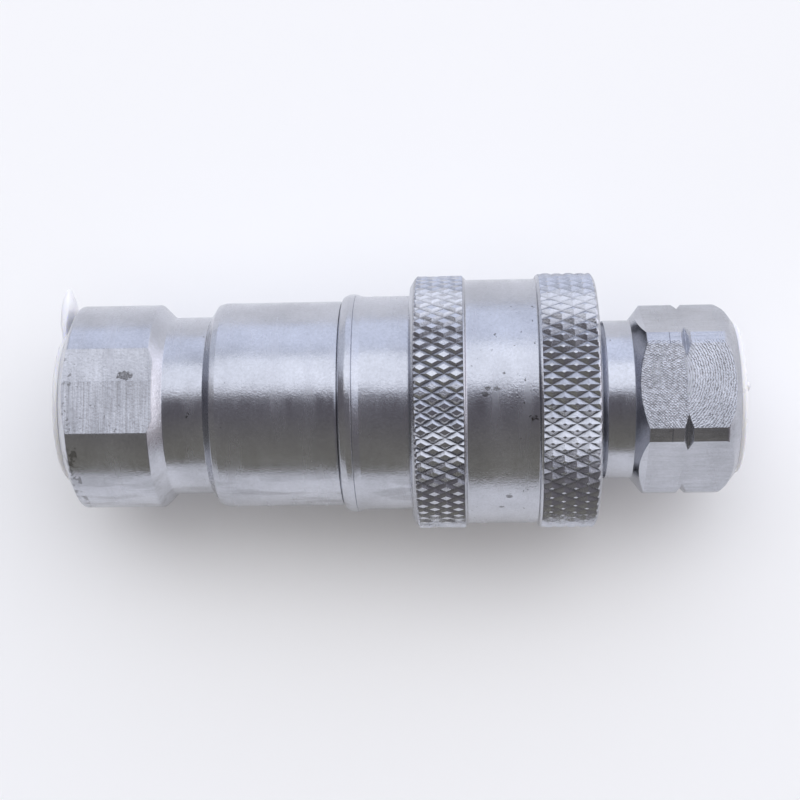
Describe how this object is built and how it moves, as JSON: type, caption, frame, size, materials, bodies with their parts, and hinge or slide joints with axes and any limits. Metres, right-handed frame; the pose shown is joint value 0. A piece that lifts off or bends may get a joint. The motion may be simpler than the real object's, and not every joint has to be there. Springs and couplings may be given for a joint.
{
  "type": "quick disconnect coupler",
  "caption": "Flat-face hydraulic quick disconnect coupler, connected: a socket with a knurled locking sleeve that slides to release, a hexagonal nipple, and dust plugs in the ports.",
  "frame": {"origin": "centre of the whole object's box, on the coupling axis", "axes": "+X along the coupling axis from the socket's port to the nipple's port; +Z out of a wrench flat of the socket and of the nipple's hexagon; +Y along the pull tab of the socket's plug"},
  "size_m": [0.1084, 0.0402, 0.0402],
  "materials": {
    "zinc_plated_steel": "clear bluish zinc plating over turned and milled steel",
    "bright_steel": "fine turned",
    "spring_steel": "drawn wire",
    "ball_steel": "polished",
    "seal_rubber": "satin",
    "backup_plastic": "satin",
    "plug_plastic": "milky, slightly translucent moulded plastic"
  },
  "bodies": {
    "socket": {"female_adapter": "zinc_plated_steel", "female_barrel": "zinc_plated_steel", "adapter_seal": "seal_rubber", "fixed_stem": "bright_steel", "stem_seal": "seal_rubber", "stem_carrier": "bright_steel", "stem_nut": "bright_steel", "face_sleeve_spring": "spring_steel", "barrel_seal": "seal_rubber", "barrel_backup_ring": "backup_plastic", "sleeve_spring": "spring_steel", "sleeve_retaining_ring": "spring_steel", "locking_ball_01": "ball_steel", "locking_ball_02": "ball_steel", "locking_ball_03": "ball_steel", "locking_ball_04": "ball_steel", "locking_ball_05": "ball_steel", "locking_ball_06": "ball_steel", "locking_ball_07": "ball_steel", "locking_ball_08": "ball_steel", "locking_ball_09": "ball_steel", "locking_ball_10": "ball_steel", "locking_ball_11": "ball_steel", "locking_ball_12": "ball_steel"},
    "thrust_washer": {"sleeve_thrust_washer": "bright_steel"},
    "locking_sleeve": {"locking_sleeve": "zinc_plated_steel"},
    "face_valve": {"face_sleeve": "bright_steel", "face_sleeve_seal": "seal_rubber"},
    "poppet": {"male_poppet": "bright_steel", "poppet_seal": "seal_rubber"},
    "nipple": {"male_body": "zinc_plated_steel", "poppet_guide": "bright_steel", "guide_retaining_ring": "spring_steel", "poppet_spring": "spring_steel"},
    "socket_plug": {"female_port_plug": "plug_plastic"},
    "nipple_plug": {"male_port_plug": "plug_plastic"}
  },
  "joints": [
    {"name": "sleeve_slide", "type": "slide", "parent": "socket", "child": "thrust_washer", "axis": [-1, 0, 0], "range_m": [0, 0.007], "stiffness_N_per_m": 4000, "springref_m": -0.007, "deforming": ["sleeve_spring", "locking_ball_01", "locking_ball_02", "locking_ball_03", "locking_ball_04", "locking_ball_05", "locking_ball_06", "locking_ball_07", "locking_ball_08", "locking_ball_09", "locking_ball_10", "locking_ball_11", "locking_ball_12"]},
    {"name": "sleeve_spin", "type": "hinge", "parent": "thrust_washer", "child": "locking_sleeve", "pos_m": [0, 0, 0], "axis": [1, 0, 0], "continuous": true},
    {"name": "nipple_withdraw", "type": "slide", "parent": "socket", "child": "poppet", "axis": [1, 0, 0], "range_m": [0, 0.03]},
    {"name": "nipple_unseat", "type": "slide", "parent": "poppet", "child": "nipple", "axis": [1, 0, 0], "range_m": [0, 0.009], "deforming": ["poppet_spring"]},
    {"name": "face_sleeve_stroke", "type": "slide", "parent": "socket", "child": "face_valve", "axis": [1, 0, 0], "range_m": [0, 0.009], "deforming": ["face_sleeve_spring"]},
    {"name": "socket_plug_pull", "type": "slide", "parent": "socket", "child": "socket_plug", "axis": [-1, 0, 0], "range_m": [0, 0.025]},
    {"name": "nipple_plug_pull", "type": "slide", "parent": "nipple", "child": "nipple_plug", "axis": [1, 0, 0], "range_m": [0, 0.025]}
  ],
  "couplings": [
    {"joint": "face_sleeve_stroke", "follows": "nipple_unseat", "ratio": 1}
  ]
}
